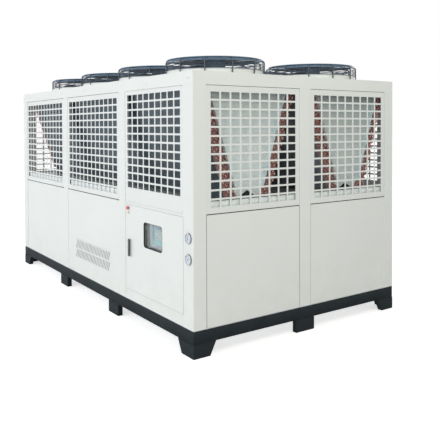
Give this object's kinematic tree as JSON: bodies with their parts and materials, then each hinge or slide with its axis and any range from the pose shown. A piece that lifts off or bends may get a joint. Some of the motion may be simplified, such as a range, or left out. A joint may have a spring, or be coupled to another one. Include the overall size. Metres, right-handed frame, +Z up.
{
  "type": "air cooled water chiller",
  "caption": "Long cream sheet-steel chiller cabinet on a dark channel base, punched grilles over leaning finned coils, rows of caged axial fans on the roof, and a hinged control door.",
  "frame": {"origin": "centre of the object's box at floor level", "axes": "+X along the length to the right end, +Y to the back, +Z up"},
  "size_m": [3.96, 2.242, 2.254],
  "materials": {
    "cream_paint": "satin cream-white powder coat",
    "grille_paint": "satin cream-white powder coat",
    "charcoal_paint": "satin charcoal paint",
    "galvanised": "galvanised sheet",
    "guard_wire": "coated wire",
    "fan_dark": "dark coated aluminium and cast motor",
    "fins": "finned coil",
    "copper": "tarnished copper tube",
    "window_glass": "clear pane",
    "black_plastic": "moulded handle",
    "button_plastic": "moulded button and lamp",
    "controller_plastic": "controller housing",
    "gauge_metal": "plated gauge case",
    "pipe_paint": "dark primed steel flange"
  },
  "bodies": {
    "cabinet": {"corner_posts": "cream_paint", "mullions": "cream_paint", "front_lower_panels": "cream_paint", "vent_louvre": "cream_paint", "back_lower_panels": "cream_paint", "end_lower_panels": "cream_paint", "roof_fascia": "cream_paint", "roof_end_sheets": "cream_paint", "fan_plates": "cream_paint", "door_frame": "cream_paint", "front_grille_left": "grille_paint", "front_grille_middle": "grille_paint", "front_grille_right": "grille_paint", "back_grille_left": "grille_paint", "back_grille_middle": "grille_paint", "back_grille_right": "grille_paint", "right_grille_front": "grille_paint", "right_grille_back": "grille_paint", "left_grille_front": "grille_paint", "left_grille_back": "grille_paint", "feet": "charcoal_paint", "base_rails": "charcoal_paint", "base_cross_members": "charcoal_paint", "coil_trays": "charcoal_paint", "floor_pan": "galvanised", "roof_beam": "galvanised", "coil_deck_rails": "galvanised", "coil_deck": "galvanised", "coil_end_plates": "galvanised", "control_box": "galvanised", "switchgear": "galvanised", "front_fan_guards": "guard_wire", "back_fan_guards": "guard_wire", "fan_guard_posts": "guard_wire", "fan_motors": "fan_dark", "condenser_coils": "fins", "return_bends": "copper", "pressure_gauges": "gauge_metal", "water_flanges": "pipe_paint"},
    "door": {"control_door": "cream_paint", "door_window": "window_glass", "door_handle": "black_plastic", "door_buttons": "button_plastic", "controller": "controller_plastic"},
    "fan_1": {"fan_rotor_1": "fan_dark"},
    "fan_2": {"fan_rotor_2": "fan_dark"},
    "fan_3": {"fan_rotor_3": "fan_dark"},
    "fan_4": {"fan_rotor_4": "fan_dark"},
    "fan_5": {"fan_rotor_5": "fan_dark"},
    "fan_6": {"fan_rotor_6": "fan_dark"},
    "fan_7": {"fan_rotor_7": "fan_dark"},
    "fan_8": {"fan_rotor_8": "fan_dark"}
  },
  "joints": [
    {"name": "door_hinge", "type": "hinge", "parent": "cabinet", "child": "door", "pos_m": [1.827, -1.088, 0.66], "axis": [0, 0, 1], "range_deg": [0, 110]},
    {"name": "fan_1_spin", "type": "hinge", "parent": "cabinet", "child": "fan_1", "pos_m": [1.46, -0.548, 2.19], "axis": [0, 0, 1], "continuous": true},
    {"name": "fan_2_spin", "type": "hinge", "parent": "cabinet", "child": "fan_2", "pos_m": [0.565, -0.548, 2.19], "axis": [0, 0, 1], "continuous": true},
    {"name": "fan_3_spin", "type": "hinge", "parent": "cabinet", "child": "fan_3", "pos_m": [-0.33, -0.548, 2.19], "axis": [0, 0, 1], "continuous": true},
    {"name": "fan_4_spin", "type": "hinge", "parent": "cabinet", "child": "fan_4", "pos_m": [-1.225, -0.548, 2.19], "axis": [0, 0, 1], "continuous": true},
    {"name": "fan_5_spin", "type": "hinge", "parent": "cabinet", "child": "fan_5", "pos_m": [1.46, 0.548, 2.19], "axis": [0, 0, 1], "continuous": true},
    {"name": "fan_6_spin", "type": "hinge", "parent": "cabinet", "child": "fan_6", "pos_m": [0.565, 0.548, 2.19], "axis": [0, 0, 1], "continuous": true},
    {"name": "fan_7_spin", "type": "hinge", "parent": "cabinet", "child": "fan_7", "pos_m": [-0.33, 0.548, 2.19], "axis": [0, 0, 1], "continuous": true},
    {"name": "fan_8_spin", "type": "hinge", "parent": "cabinet", "child": "fan_8", "pos_m": [-1.225, 0.548, 2.19], "axis": [0, 0, 1], "continuous": true}
  ]
}
